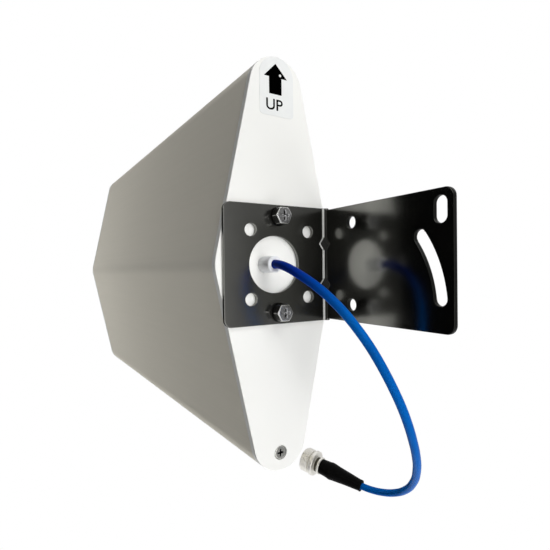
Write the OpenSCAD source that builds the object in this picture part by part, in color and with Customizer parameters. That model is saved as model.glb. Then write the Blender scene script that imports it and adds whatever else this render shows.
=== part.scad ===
// Log-periodic antenna in a lozenge-section radome, with a bent mounting bracket and a coax pigtail.
// The origin is midway between the two mast-leg holes, on the mast leg's outer face.
// Antenna axes: X across the radome, Y from the rear cap to the front cap, Z up.

/* [Radome] */
// Height of the lozenge section from tip to tip
section_h = 210; // [196:1:240]
// Width of the lozenge section over its softened ridges
section_w = 68; // [62:1:76]
// Radius of the top and bottom tips
tip_r = 15; // [14:0.5:17]
// Radius that softens the two side ridges
ridge_r = 20; // [16:1:24]
// Depth from the rear cap's face to the front cap's face
antenna_l = 346; // [335:1:380]
// Wall of the radome tube
wall = 2.5; // [2:0.1:3]
// Radius of the screw channel inside each tip
channel_r = 4.2; // [4:0.1:4.6]
// Distance of the cap screws from the tips
screw_inset = 9; // [8.5:0.1:10]

/* [Caps] */
// Thickness of a cap's face
cap_t = 4; // [3.5:0.1:5]
// Round on the cap's outer edge
cap_edge_r = 0.7; // [0.5:0.1:1.2]
// Depth of the cap's collar inside the tube
collar_l = 10; // [8:1:14]
// Wall of that collar
collar_t = 2; // [1.6:0.1:2.4]
// Depth of the rear sockets that hold the booms
rear_socket_l = 16; // [12:1:20]
// Depth of the front sockets that hold the booms
front_socket_l = 10; // [8:1:12]
// Wall of the boom sockets and of the boom spacers
socket_t = 2.5; // [2:0.1:3]

/* [Cap screws] */
// Diameter of a cap screw's head
screw_head_d = 6.6; // [6:0.1:6.8]
// Height of a cap screw's head
screw_head_h = 2.2; // [1.8:0.1:2.4]
// Diameter of a cap screw's shank
screw_d = 3.4; // [3:0.1:3.6]
// Length of a cap screw under its head
screw_l = 15; // [12:1:18]

/* [Bracket] */
// Thickness of the bracket sheet
sheet_t = 2; // [1.5:0.1:2.5]
// Height of the leg on the antenna
cap_leg_h = 60; // [58:1:66]
// Width of the leg on the antenna, over the mast leg
cap_leg_w = 61.5; // [60:0.5:68]
// Distance of that leg's free edge from the antenna's axis
cap_leg_edge = 31.5; // [30.5:0.5:33.5]
// Height of the mast leg
mast_leg_h = 58; // [56:1:60]
// Reach of the mast leg behind the cap
mast_leg_l = 82; // [80.5:0.5:95]
// Radius inside the bend
bend_r = 1.5; // [1:0.1:2]
// Radius of the bracket's free corners
corner_r = 4; // [3:0.5:4.5]
// Diameter of the cable opening
cable_opening_d = 28.5; // [26:0.5:30]
// Offset of the cable opening from the antenna's axis, away from the mast leg
cable_opening_offset = 3.5; // [2:0.5:4]
// Diameter of the four spare holes round the cable opening
spare_hole_d = 6.2; // [5.5:0.1:6.6]
// Spacing of the four spare holes
spare_hole_pitch = 34; // [33:0.5:36]
// Distance of the two bolts from the antenna leg's top and bottom edges
bolt_inset = 6; // [5.5:0.1:6.5]
// Offset of those bolts from the antenna's axis, away from the mast leg
bolt_offset = 1.5; // [0:0.5:2]
// Reach of the pressed darts onto each leg, from the bend
dart_reach = 3.4; // [2.6:0.1:3.6]
// Half length of a dart along the bend
dart_half_l = 4.6; // [4:0.1:5.5]
// Spacing of the darts along the bend
dart_pitch = 22; // [18:1:26]

/* [Mast leg holes] */
// Diameter of the two mast-leg holes
mast_hole_d = 6; // [5.6:0.1:6.6]
// Spacing of the two mast-leg holes
mast_hole_pitch = 41; // [38:0.5:42]
// Distance of the mast-leg holes behind the cap
mast_hole_y = 23.3; // [22:0.1:25]
// Width of both slots
slot_w = 6; // [5.8:0.1:6.6]
// End-to-end length of the short slot
slot_l = 11; // [10:0.2:13]
// Radius from a mast-leg hole to its slot
swing_r = 52.5; // [50:0.5:53]
// Lowest tilt of the curved slot above level
swing_low = 6; // [4:1:8]
// Highest tilt of the curved slot above level
swing_high = 36; // [30:1:38]

/* [Bracket bolts] */
// Diameter of a bracket bolt's shank
bolt_d = 5; // [4.8:0.1:5]
// Width of a bracket bolt's head across its flats
bolt_flats = 8; // [7.5:0.1:8.2]
// Height of a bracket bolt's head
bolt_head_h = 4.5; // [3.5:0.1:5]
// Length of a bracket bolt under its head
bolt_l = 12; // [10:0.5:14]
// Outer diameter of the flat washers
flat_washer_d = 9.6; // [9:0.1:9.8]
// Thickness of the flat washers
flat_washer_t = 1; // [0.8:0.1:1.2]
// Outer diameter of the spring washers
spring_washer_d = 8.6; // [8:0.1:9]
// Thickness of the spring washers
spring_washer_t = 1.3; // [1:0.1:1.5]
// Outer diameter of the threaded inserts in the rear cap
insert_d = 6.4; // [6.2:0.1:7]
// Length of the threaded inserts
insert_l = 9; // [8:0.5:9.5]

/* [Dipole array] */
// Width of a square boom tube
boom_w = 10; // [9:0.5:11]
// Wall of a boom tube
boom_wall = 1.5; // [1.2:0.1:1.6]
// Gap between the two booms
boom_gap = 6; // [5:0.5:7]
// Diameter of the dipole rods
rod_d = 4; // [3:0.2:4.4]
// Number of dipoles
dipoles = 12; // [9:1:13]
// Ratio of each dipole's length to the one behind it
taper = 0.88; // [0.84:0.01:0.9]
// Gap between the longest rod's tip and the radome
tip_gap = 3.5; // [2:0.5:6]
// Distance from the rear sockets to the longest dipole
first_gap = 20; // [18:1:26]
// Distance from the shortest dipole to the feed wire
last_gap = 8; // [6:0.5:10]
// Distance from the feed wire to the front sockets
feed_gap = 4; // [3:0.5:6]
// Thickness of a boom spacer along the boom
spacer_l = 6; // [4:0.5:8]
// Thickness of the strap that joins the booms at the rear
strap_t = 1.5; // [1:0.1:2]
// Width of that strap along the boom
strap_w = 10; // [8:0.5:12]
// Shank diameter of the strap screws
strap_screw_d = 2.4; // [2:0.1:2.6]
// Diameter of the feed wire
feed_wire_d = 1; // [0.8:0.1:1.2]
// Outer diameter of the bush round the feed wire
feed_bush_d = 3.2; // [2.8:0.1:3.6]

/* [Cable and connector] */
// Diameter of the coax cable
cable_d = 4.2; // [4:0.1:4.4]
// Outer diameter of the sleeve where the cable leaves the rear cap
sleeve_d = 8; // [7.6:0.1:8.6]
// Length of the sleeve behind the cap
sleeve_l = 10; // [10:0.5:10]
// Length of the heat-shrink boot
boot_l = 30; // [28:1:34]
// Diameter of the boot over the cable
boot_small_d = 7.2; // [6.6:0.1:7.8]
// Diameter of the boot at its shoulder
boot_large_d = 11.4; // [10.8:0.1:12]
// Diameter of the boot at the connector
boot_tail_d = 9.8; // [9.6:0.1:10.4]
// Outer diameter of the crimp ferrule
ferrule_d = 8; // [7.4:0.1:8.4]
// Length of the crimp ferrule
ferrule_l = 14; // [12:1:16]
// Diameter of the connector's threaded barrel
barrel_d = 15.875; // [15:0.125:16.5]
// Length of the threaded barrel
barrel_l = 6; // [5:0.5:10]
// Bore of the barrel's mouth
mouth_d = 9; // [8.4:0.1:9.6]
// Diameter of the connector's insulator
insulator_d = 7; // [6.6:0.1:7.6]
// Diameter of the connector's centre contact
contact_d = 3; // [2.8:0.1:3.2]

/* [Label] */
// Width of the orientation label
label_w = 20; // [16:0.5:22]
// Height of the orientation label
label_h = 30; // [26:0.5:34]
// Thickness of the label film
label_t = 0.2; // [0.15:0.05:0.3]
// Distance of the label's top below the radome's tip
label_inset = 0; // [0:0.1:2]

/* [Hidden] */
$fn = 64;
// Clearance of sliding and pressed-in pieces
fit_gap = 0.1;
// Room by which a cutting shape passes through what it cuts
cut = 1;

// Lozenge section: centres of the tip and ridge circles, and the slope of the line that touches both
tip_z = section_h / 2 - tip_r;
ridge_x = section_w / 2 - ridge_r;
side_turn = acos((tip_r - ridge_r) / norm([ridge_x, tip_z])) - atan2(tip_z, ridge_x);
side_normal = [cos(side_turn), sin(side_turn)];
// The flat sides pass this far inside the circles, so that they cross them rather than graze them
seam = 0.01;

// Stations along the antenna
screw_z = section_h / 2 - screw_inset;
front_y = antenna_l - cap_t;
boom_end_gap = 0.5;
boom_y0 = cap_t + boom_end_gap;
boom_y1 = front_y - boom_end_gap;
feed_y = front_y - front_socket_l - feed_gap;
first_y = cap_t + rear_socket_l + first_gap;
last_y = feed_y - last_gap;
strap_y = cap_t + rear_socket_l + first_gap / 2 - 1;

// Dipole array: each spacing and each length is the last one times the taper
boom_x = (boom_gap + boom_w) / 2;
rod_reach_x = boom_x + rod_d / 2;
longest_half = tip_z + sqrt(pow(tip_r - wall, 2) - pow(rod_reach_x, 2)) - tip_gap;
first_step = (last_y - first_y) * (1 - taper) / (1 - pow(taper, dipoles - 1));
function dipole_y(i) = first_y + first_step * (1 - pow(taper, i)) / (1 - taper);
function dipole_half(i) = longest_half * pow(taper, i);
function arm_side(i, boom) = (i % 2 == 0 ? 1 : -1) * boom;
// The spacers sit midway between these dipoles and the next ones
spacer_after = [1, 4];

// Bracket: the mast leg's faces, seen from the antenna's axis
mast_face_x = cap_leg_w - cap_leg_edge;
mast_inner_x = mast_face_x - sheet_t;
bolt_x = -bolt_offset;
bolt_z = cap_leg_h / 2 - bolt_inset;
bolt_hole_d = bolt_d + 0.5;
dent_extra = 0.6;
// The curved slot's sides run this many degrees into its round ends
swing_lap = 0.4;

// Bolt stack behind the bracket
flat_washer_y = -sheet_t - flat_washer_t;
spring_washer_y = flat_washer_y - spring_washer_t;
boss_wall = 2;
boss_depth = max(insert_l, spring_washer_y + bolt_l) + 0.5;

// Small screw heads and recesses
recess_w = 1;
bolt_recess_d = 4.6;
screw_recess_d = 3.8;
strap_head_d = 4.6;
strap_head_h = 1.6;
counterbore_gap = 0.3;

// Cable route from the sleeve's mouth, in the antenna's axes, and the straight axis of the connector
cable_x = -boom_x;
plug_at = [74.4, 21.4, -142.1];
plug_turn = 112.2;
plug_rise = 10;
plug_axis = [cos(plug_rise) * cos(plug_turn), cos(plug_rise) * sin(plug_turn), sin(plug_rise)];
cable_route = [
    [-8, -10, 0], [-8, -11.5, 0], [-7.9, -18.1, -1.2], [-7.3, -22.8, -2.8], [-6.3, -27.1, -4.8],
    [-4, -33.1, -8.4], [-1.3, -38.3, -12.6], [1.7, -42.7, -17.4], [4.8, -46.4, -22.6],
    [8.1, -49.4, -28.3], [11.6, -51.8, -34.4], [15.1, -53.5, -40.7], [18.9, -54.6, -47.5],
    [23.1, -55, -54.7], [28.1, -54.7, -63], [33.9, -53.1, -72.2], [40.3, -50.2, -81.9],
    [48.1, -45.4, -92.8], [57.1, -38, -104.6], [67.7, -26.4, -118.5], [75.7, -12.8, -130.8],
    [78.1, -3, -137], [78.2, 5.8, -140.6], [76.6, 14.7, -142.3],
    plug_at, plug_at + plug_axis * boot_l / 2, plug_at + plug_axis * boot_l
];
cable_sides = 8;
// A direction that stays well away from the cable's own along the whole route
cable_ref = [1, 0, 1];

// Connector: stations along its axis from the boot's small end, and the radii of its collars
boot_bore_d = cable_d + 3 * fit_gap;
rear_ring_l = 1.5;
rear_ring_d = 11.2;
neck_l = 2.5;
neck_d = 9.6;
flange_l = 2.5;
flange_d = 16.4;
groove_l = 1;
groove_d = 13.2;
neck_s = boot_l + rear_ring_l;
flange_s = neck_s + neck_l;
groove_s = flange_s + flange_l;
barrel_s = groove_s + groove_l;
mouth_s = barrel_s + barrel_l;
barrel_chamfer = 0.6;
mouth_depth = barrel_l - 1;
insulator_s = neck_s;
contact_inset = 1.5;
contact_bore_d = 1.7;
contact_bore_l = 5;
contact_slit_w = 0.4;

// Every node, in the order of assembly

// Moves the antenna's axes so that the mast-leg holes lie at the origin
module on_mast() {
    translate([-mast_face_x, mast_hole_y, 0]) children();
}

// Extrudes a flat X-Z outline from y0 to y1
module along_y(y0, y1) {
    translate([0, y1, 0]) rotate([90, 0, 0]) linear_extrude(y1 - y0) children();
}

// A round bar along Y
module bar_y(d, y0, y1) {
    translate([0, y1, 0]) rotate([90, 0, 0]) cylinder(h = y1 - y0, d = d);
}

// The lozenge outline, drawn in from the radome's outside by inset
module lozenge(inset = 0) {
    tip_touch = [0, tip_z] + (tip_r - inset - seam) * side_normal;
    ridge_touch = [ridge_x, 0] + (ridge_r - inset - seam) * side_normal;
    polygon([
        tip_touch, ridge_touch, [ridge_touch.x, -ridge_touch.y], [tip_touch.x, -tip_touch.y],
        -tip_touch, -ridge_touch, [-ridge_touch.x, ridge_touch.y], [-tip_touch.x, tip_touch.y]
    ]);
    for (side = [-1, 1]) {
        translate([0, side * tip_z]) circle(tip_r - inset);
        translate([side * ridge_x, 0]) circle(ridge_r - inset);
    }
}

// A cross-shaped driver recess of depth deep, sunk from y = 0 towards +Y
module cross_recess(across, deep) {
    for (turn = [0, 90]) {
        rotate([0, turn, 0]) translate([-across / 2, -cut, -recess_w / 2])
            cube([across, deep + cut, recess_w]);
    }
}

// Both boom profiles side by side, each grown by grow
module boom_pair(grow) {
    for (side = [-1, 1]) {
        translate([side * boom_x, 0]) square(boom_w + 2 * grow, center = true);
    }
}

// The block that holds both booms, as an outline with two square holes
module boom_holder() {
    difference() {
        square([2 * boom_x + boom_w + 2 * socket_t, boom_w + 2 * socket_t], center = true);
        boom_pair(fit_gap);
    }
}

// Extruded tube with a screw channel in each tip
module radome() {
    web_h = section_h / 2 - wall / 2 - screw_z;
    color("gainsboro") on_mast() difference() {
        union() {
            difference() {
                along_y(cap_t, front_y) lozenge();
                along_y(cap_t - cut, front_y + cut) lozenge(wall);
            }
            for (side = [-1, 1]) {
                translate([0, 0, side * screw_z]) bar_y(2 * channel_r, cap_t, front_y);
                along_y(cap_t, front_y) translate([0, side * (screw_z + web_h / 2)])
                    square([channel_r, web_h], center = true);
            }
        }
        for (side = [-1, 1]) {
            translate([0, 0, side * screw_z]) bar_y(screw_d + fit_gap, cap_t - cut, front_y + cut);
        }
    }
}

// Round-edged cap with its collar, boom sockets and screw holes, its face at y = 0 and its inside towards +Y
module cap(socket_l) {
    difference() {
        union() {
            hull() {
                for (turn = [0, 30, 60, 90]) {
                    along_y(cap_edge_r * (1 - sin(turn)), cap_t) lozenge(cap_edge_r * (1 - cos(turn)));
                }
            }
            along_y(cap_t, cap_t + collar_l) intersection() {
                difference() {
                    lozenge(wall + fit_gap);
                    lozenge(wall + fit_gap + collar_t);
                }
                square([section_w, 2 * (screw_z - channel_r - collar_t)], center = true);
            }
            along_y(cap_t, cap_t + socket_l) boom_holder();
        }
        for (side = [-1, 1]) {
            translate([0, 0, side * screw_z]) {
                bar_y(screw_d + 2 * fit_gap, -cut, cap_t + cut);
                bar_y(screw_head_d + 2 * counterbore_gap, -cut, screw_head_h + fit_gap);
            }
        }
    }
}

// Rear cap, with bosses for the bracket's inserts and a hole for the cable sleeve
module back_cap() {
    boss_d = insert_d + 2 * boss_wall;
    color("whitesmoke") on_mast() difference() {
        union() {
            cap(rear_socket_l);
            for (side = [-1, 1]) {
                translate([bolt_x, 0, side * bolt_z]) bar_y(boss_d, cap_t, boss_depth + boss_wall);
            }
        }
        for (side = [-1, 1]) {
            translate([bolt_x, 0, side * bolt_z]) {
                bar_y(insert_d + fit_gap, -cut, insert_l);
                bar_y(bolt_d + 2 * fit_gap, -cut, boss_depth);
            }
        }
        translate([cable_x, 0, 0]) bar_y(sleeve_d + fit_gap, -cut, cap_t + cut);
    }
}

// Front cap, turned to face forwards
module front_cap() {
    color("whitesmoke") on_mast() translate([0, antenna_l, 0]) mirror([0, 1, 0]) cap(front_socket_l);
}

// Pan-head screw pair that enters a cap from y = 0
module cap_screws() {
    for (side = [-1, 1]) {
        translate([0, 0, side * screw_z]) difference() {
            union() {
                bar_y(screw_head_d, fit_gap, screw_head_h + fit_gap);
                bar_y(screw_d, screw_head_h, screw_head_h + screw_l);
            }
            translate([0, fit_gap, 0]) cross_recess(screw_recess_d, screw_head_h / 2);
        }
    }
}

module back_cap_screws() {
    color("silver") on_mast() cap_screws();
}

module front_cap_screws() {
    color("silver") on_mast() translate([0, antenna_l, 0]) mirror([0, 1, 0]) cap_screws();
}

// Square boom tube on one side of the axis, drilled for its rods and its strap screw
module boom(side) {
    difference() {
        along_y(boom_y0, boom_y1) translate([side * boom_x, 0]) difference() {
            square(boom_w, center = true);
            square(boom_w - 2 * boom_wall, center = true);
        }
        for (i = [0 : dipoles - 1]) {
            translate([side * boom_x, dipole_y(i), arm_side(i, side) * boom_w / 2])
                cylinder(h = 2 * boom_wall + cut, d = rod_d + fit_gap, center = true);
        }
        translate([side * boom_x, strap_y, boom_w / 2])
            cylinder(h = 2 * boom_wall + cut, d = strap_screw_d + fit_gap, center = true);
    }
}

// Left boom, which carries the coax inside it and lets the feed wire out
module left_boom() {
    color("lightsteelblue") on_mast() difference() {
        boom(-1);
        translate([-boom_gap / 2, feed_y, 0]) rotate([0, 90, 0])
            cylinder(h = 2 * boom_wall + cut, d = feed_bush_d + fit_gap, center = true);
    }
}

// Right boom, which takes the feed wire's end
module right_boom() {
    color("lightsteelblue") on_mast() difference() {
        boom(1);
        translate([boom_gap / 2, feed_y, 0]) rotate([0, 90, 0])
            cylinder(h = 2 * boom_wall + cut, d = feed_wire_d + fit_gap, center = true);
    }
}

// Dipole rods of one boom, alternately up and down, each seated through the boom's wall
module elements(side) {
    root = boom_w / 2 - boom_wall;
    for (i = [0 : dipoles - 1]) {
        translate([side * boom_x, dipole_y(i), 0]) rotate([arm_side(i, side) > 0 ? 0 : 180, 0, 0])
            translate([0, 0, root]) cylinder(h = dipole_half(i) - root, d = rod_d);
    }
}

module left_elements() {
    color("silver") on_mast() elements(-1);
}

module right_elements() {
    color("silver") on_mast() elements(1);
}

// Plastic blocks that keep the booms apart between the dipoles
module boom_spacers() {
    color("white") on_mast() for (i = spacer_after) {
        middle = (dipole_y(i) + dipole_y(i + 1)) / 2;
        along_y(middle - spacer_l / 2, middle + spacer_l / 2) boom_holder();
    }
}

// Strap that shorts the booms behind the longest dipole
module shorting_strap() {
    color("silver") on_mast() difference() {
        translate([-boom_x - boom_w / 2, strap_y - strap_w / 2, boom_w / 2])
            cube([2 * boom_x + boom_w, strap_w, strap_t]);
        for (side = [-1, 1]) {
            translate([side * boom_x, strap_y, boom_w / 2 - cut])
                cylinder(h = strap_t + 2 * cut, d = strap_screw_d + 2 * fit_gap);
        }
    }
}

module strap_screws() {
    head_z = boom_w / 2 + strap_t;
    color("silver") on_mast() for (side = [-1, 1]) {
        translate([side * boom_x, strap_y, head_z]) difference() {
            union() {
                cylinder(h = strap_head_h, d = strap_head_d);
                translate([0, 0, -strap_t - boom_wall])
                    cylinder(h = strap_t + boom_wall + cut, d = strap_screw_d);
            }
            translate([0, 0, strap_head_h]) rotate([-90, 0, 0])
                cross_recess(strap_screw_d, strap_head_h / 2);
        }
    }
}

// The cable's held stretch, from the sleeve's mouth through the left boom to the feed point
module feed_coax() {
    color("royalblue") on_mast() translate([cable_x, 0, 0]) bar_y(cable_d, -sleeve_l, feed_y - feed_gap);
}

// Centre conductor that leaves the coax and crosses to the right boom
module feed_wire() {
    color("goldenrod") on_mast() {
        translate([cable_x, 0, 0]) bar_y(feed_wire_d, feed_y - feed_gap, feed_y);
        translate([cable_x, feed_y, 0]) sphere(d = feed_wire_d);
        translate([cable_x, feed_y, 0]) rotate([0, 90, 0])
            cylinder(h = boom_x + boom_gap / 2 + boom_wall, d = feed_wire_d);
    }
}

// Insulating bush round the feed wire, through the left boom's wall and across the gap
module feed_bush() {
    color("white") on_mast() translate([-boom_gap / 2 - boom_wall, feed_y, 0]) rotate([0, 90, 0]) difference() {
        cylinder(h = boom_gap + boom_wall, d = feed_bush_d);
        translate([0, 0, -cut]) cylinder(h = boom_gap + boom_wall + 2 * cut, d = feed_wire_d + fit_gap);
    }
}

// Brass inserts that take the bracket bolts
module threaded_inserts() {
    color("goldenrod") on_mast() for (side = [-1, 1]) {
        translate([bolt_x, 0, side * bolt_z]) difference() {
            bar_y(insert_d, 0, insert_l);
            bar_y(bolt_d + fit_gap, -cut, insert_l + cut);
        }
    }
}

// What is taken off a square corner to round it, at the origin, pointing to +X and +Y
module corner_cut(r, thick) {
    translate([-r, -r, -cut]) difference() {
        cube([r + cut, r + cut, thick + 2 * cut]);
        cylinder(h = thick + 2 * cut, r = r);
    }
}

// A wedge across the bend with its crest towards the inside of the corner, the form of a pressed dart
module dart(depth, half_l) {
    rotate([0, 0, 225]) rotate([90, 0, 0]) linear_extrude(4 * depth, center = true)
        polygon([[-depth, -2 * half_l], [depth, 0], [-depth, 2 * half_l]]);
}

// The bent sheet's outline in plan, with a rounded bend
module bracket_plan() {
    outer_r = bend_r + sheet_t;
    translate([-cap_leg_edge, -sheet_t]) square([cap_leg_w - outer_r, sheet_t]);
    translate([mast_inner_x, -mast_leg_l]) square([sheet_t, mast_leg_l - outer_r]);
    translate([mast_face_x - outer_r, -outer_r]) intersection() {
        difference() {
            circle(outer_r);
            circle(bend_r);
        }
        square(outer_r);
    }
}

// The slots of the mast leg, as an outline in its own plane: x reaches back from the holes, y is up
module mast_slots() {
    pivot = [0, -mast_hole_pitch / 2];
    for (side = [-1, 1]) {
        translate([0, side * mast_hole_pitch / 2]) circle(d = mast_hole_d);
    }
    translate([swing_r, mast_hole_pitch / 2]) {
        square([slot_w, slot_l - slot_w], center = true);
        for (side = [-1, 1]) {
            translate([0, side * (slot_l - slot_w) / 2]) circle(d = slot_w);
        }
    }
    translate(pivot) {
        intersection() {
            difference() {
                circle(swing_r + slot_w / 2);
                circle(swing_r - slot_w / 2);
            }
            polygon([
                [0, 0],
                2 * swing_r * [cos(swing_low - swing_lap), sin(swing_low - swing_lap)],
                2 * swing_r * [cos(swing_high + swing_lap), sin(swing_high + swing_lap)]
            ]);
        }
        for (tilt = [swing_low, swing_high]) {
            rotate(tilt) translate([swing_r, 0]) circle(d = slot_w);
        }
    }
}

// Polished bracket: one bent sheet with its holes, slots and two pressed darts
module bracket() {
    notch = (cap_leg_h - mast_leg_h) / 2;
    outer_r = bend_r + sheet_t;
    color("dimgray") on_mast() difference() {
        union() {
            translate([0, 0, -cap_leg_h / 2]) linear_extrude(cap_leg_h) bracket_plan();
            for (side = [-1, 1]) {
                intersection() {
                    translate([mast_inner_x, -sheet_t, side * dart_pitch / 2])
                        dart(dart_reach / sqrt(2), dart_half_l);
                    translate([mast_inner_x + sheet_t / 2 - cap_leg_w, -sheet_t / 2 - mast_leg_l, -cap_leg_h / 2])
                        cube([cap_leg_w, mast_leg_l, cap_leg_h]);
                }
            }
        }
        for (side = [-1, 1]) {
            translate([mast_face_x, 0, side * dart_pitch / 2])
                dart(dart_reach / sqrt(2) + dent_extra, dart_half_l + dent_extra);
            translate([mast_inner_x - cut, -mast_leg_l - cut, side * (cap_leg_h / 2 + mast_leg_h / 2) / 2 - notch / 2])
                cube([sheet_t + 2 * cut, mast_leg_l + cut - outer_r, notch]);
            translate([-cap_leg_edge, 0, side * cap_leg_h / 2]) rotate([90, 0, 0]) mirror([1, 0, 0])
                mirror([0, side < 0 ? 1 : 0, 0]) corner_cut(corner_r, sheet_t);
            translate([mast_inner_x, -mast_leg_l, side * mast_leg_h / 2]) rotate([90, 0, 90])
                mirror([1, 0, 0]) mirror([0, side < 0 ? 1 : 0, 0]) corner_cut(corner_r, sheet_t);
            translate([bolt_x, 0, side * bolt_z]) bar_y(bolt_hole_d, -sheet_t - cut, cut);
            for (across = [-1, 1]) {
                translate([across * spare_hole_pitch / 2, 0, side * spare_hole_pitch / 2])
                    bar_y(spare_hole_d, -sheet_t - cut, cut);
            }
        }
        translate([-cable_opening_offset, 0, 0]) bar_y(cable_opening_d, -sheet_t - cut, cut);
        translate([mast_inner_x - cut, -mast_hole_y, 0]) rotate([90, 0, 90])
            linear_extrude(sheet_t + 2 * cut) mirror([1, 0]) mast_slots();
    }
}

// A washer pair on the bolts, between y0 and y1
module washer_pair(outer_d, y0, y1) {
    for (side = [-1, 1]) {
        translate([bolt_x, 0, side * bolt_z]) difference() {
            bar_y(outer_d, y0, y1);
            bar_y(bolt_d + 2 * fit_gap, y0 - cut, y1 + cut);
        }
    }
}

module bracket_flat_washers() {
    color("silver") on_mast() washer_pair(flat_washer_d, flat_washer_y, -sheet_t);
}

// Split spring washers, closed flat under the heads
module bracket_lock_washers() {
    split_w = 0.8;
    color("silver") on_mast() difference() {
        washer_pair(spring_washer_d, spring_washer_y, flat_washer_y);
        for (side = [-1, 1]) {
            translate([bolt_x, spring_washer_y - cut, side * bolt_z - split_w / 2]) rotate([0, 30, 0])
                cube([spring_washer_d, spring_washer_t + 2 * cut, split_w]);
        }
    }
}

// Hexagon bolts with a cross recess and a rounded crown
module bracket_bolts() {
    head_d = bolt_flats / cos(30);
    crown_top_d = 0.88 * bolt_flats;
    crown_d = crown_top_d + 2 * head_d;
    color("silver") on_mast() for (side = [-1, 1]) {
        translate([bolt_x, spring_washer_y, side * bolt_z]) difference() {
            union() {
                rotate([90, 0, 0]) intersection() {
                    cylinder(h = bolt_head_h, d = head_d, $fn = 6);
                    cylinder(h = bolt_head_h, d1 = crown_d, d2 = crown_top_d);
                }
                bar_y(bolt_d, -cut, bolt_l);
            }
            translate([0, -bolt_head_h, 0]) cross_recess(bolt_recess_d, bolt_head_h / 2);
        }
    }
}

// White sleeve that leads the cable out of the rear cap
module cable_sleeve() {
    lip = 0.5;
    color("white") on_mast() translate([cable_x, cap_t, 0]) rotate([90, 0, 0]) rotate_extrude() polygon([
        [cable_d / 2 + fit_gap, 0], [sleeve_d / 2, 0],
        [sleeve_d / 2, sleeve_l + cap_t - lip], [sleeve_d / 2 - lip, sleeve_l + cap_t],
        [cable_d / 2 + fit_gap, sleeve_l + cap_t]
    ]);
}

function unit(v) = v / norm(v);
function along(route, i) = unit(route[min(i + 1, len(route) - 1)] - route[max(i - 1, 0)]);
function ring(route, i, r) = let (
    t = along(route, i),
    u = unit(cross(t, cable_ref)),
    v = cross(t, u)
) [for (k = [0 : cable_sides - 1])
    route[i] + r * (cos(360 * k / cable_sides) * u + sin(360 * k / cable_sides) * v)];

// A closed tube with one ring at each route point
module tube(route, r) {
    last = len(route) - 1;
    points = [for (i = [0 : last]) each ring(route, i, r)];
    sides = [for (i = [0 : last - 1], k = [0 : cable_sides - 1]) let (n = (k + 1) % cable_sides)
        [i * cable_sides + k, i * cable_sides + n, (i + 1) * cable_sides + n, (i + 1) * cable_sides + k]];
    near_end = [[for (k = [cable_sides - 1 : -1 : 0]) k]];
    far_end = [[for (k = [0 : cable_sides - 1]) last * cable_sides + k]];
    polyhedron(points, concat(near_end, sides, far_end));
}

// The cable's free stretch, from the sleeve's mouth to the connector
module coax_cable() {
    color("royalblue") on_mast() tube(cable_route, cable_d / 2);
}

// Puts a piece on the connector's axis, s along it from the boot's small end
module on_plug(s) {
    on_mast() translate(plug_at + plug_axis * s) rotate([0, 90 - plug_rise, plug_turn]) children();
}

// Shrunk sleeve that follows the cable, swells over the ferrule's edge and grips the connector's tail
module heat_shrink_boot() {
    ferrule_s = boot_l - ferrule_l;
    shoulder_s = 0.74 * boot_l;
    shoulder_l = 2;
    lip = 0.4;
    small_r = boot_small_d / 2;
    large_r = boot_large_d / 2;
    tail_r = boot_tail_d / 2;
    color("black") on_plug(0) rotate_extrude() polygon([
        [boot_bore_d / 2, 0], [small_r - lip, 0], [small_r, lip],
        [large_r, shoulder_s], [(large_r + tail_r) / 2, shoulder_s + shoulder_l],
        [tail_r, boot_l - lip], [tail_r - lip, boot_l],
        [ferrule_d / 2 + fit_gap, boot_l], [ferrule_d / 2 + fit_gap, ferrule_s - fit_gap],
        [boot_bore_d / 2, ferrule_s - fit_gap]
    ]);
}

module crimp_ferrule() {
    color("silver") on_plug(boot_l - ferrule_l) difference() {
        cylinder(h = ferrule_l, d = ferrule_d);
        translate([0, 0, -cut]) cylinder(h = ferrule_l + 2 * cut, d = boot_bore_d);
    }
}

// Turned connector body: rear ring, neck, flange, groove and the barrel that carries the thread
module connector_body() {
    color("silver") on_plug(0) rotate_extrude() polygon([
        [contact_d / 2 + 2 * fit_gap, boot_l], [rear_ring_d / 2, boot_l], [rear_ring_d / 2, neck_s],
        [neck_d / 2, neck_s], [neck_d / 2, flange_s],
        [flange_d / 2, flange_s], [flange_d / 2, groove_s],
        [groove_d / 2, groove_s], [groove_d / 2, barrel_s],
        [barrel_d / 2 - barrel_chamfer, barrel_s], [barrel_d / 2, barrel_s + barrel_chamfer],
        [barrel_d / 2, mouth_s - barrel_chamfer], [barrel_d / 2 - barrel_chamfer, mouth_s],
        [mouth_d / 2, mouth_s], [mouth_d / 2, mouth_s - mouth_depth],
        [insulator_d / 2 + fit_gap / 2, mouth_s - mouth_depth], [insulator_d / 2 + fit_gap / 2, insulator_s],
        [contact_d / 2 + 2 * fit_gap, insulator_s]
    ]);
}

module connector_insulator() {
    insulator_l = mouth_s - mouth_depth - insulator_s;
    color("white") on_plug(insulator_s) difference() {
        cylinder(h = insulator_l, d = insulator_d);
        translate([0, 0, -cut]) cylinder(h = insulator_l + 2 * cut, d = contact_d + fit_gap);
    }
}

// Slotted centre socket
module connector_contact() {
    contact_l = mouth_s - contact_inset - boot_l;
    color("gold") on_plug(boot_l) difference() {
        cylinder(h = contact_l, d = contact_d);
        translate([0, 0, contact_l - contact_bore_l]) cylinder(h = contact_bore_l + cut, d = contact_bore_d);
        for (turn = [0, 90]) {
            rotate(turn) translate([-contact_d, -contact_slit_w / 2, contact_l - contact_bore_l])
                cube([2 * contact_d, contact_slit_w, contact_bore_l + cut]);
        }
    }
}

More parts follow.
